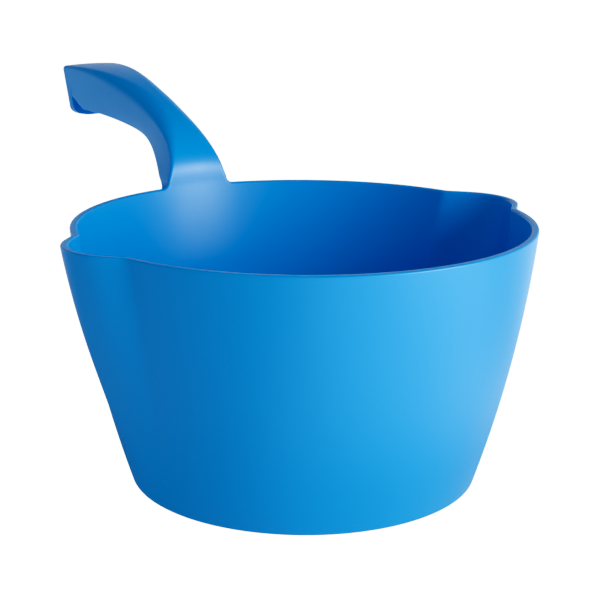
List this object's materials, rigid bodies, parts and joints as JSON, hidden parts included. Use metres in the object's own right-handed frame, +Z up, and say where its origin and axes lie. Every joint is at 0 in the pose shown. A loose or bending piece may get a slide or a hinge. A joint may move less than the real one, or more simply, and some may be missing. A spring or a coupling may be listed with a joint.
{
  "type": "feed scoop",
  "caption": "Tapered round scoop bowl with opposed pouring spouts and a channel-section grip that arches up from the rim to a hanging lip; dips, measures and pours feed or liquid.",
  "frame": {"origin": "centre of the flat base's underside, on the bowl's axis", "axes": "+X along the grip, from the bowl towards the grip's tip; +Y towards one pouring spout (the other faces -Y); +Z up, out of the bowl's mouth"},
  "size_m": [0.303, 0.2104, 0.1534],
  "materials": {
    "shell": "satin moulded polypropylene, blue"
  },
  "bodies": {
    "root": {"scoop": "shell"}
  },
  "joints": []
}
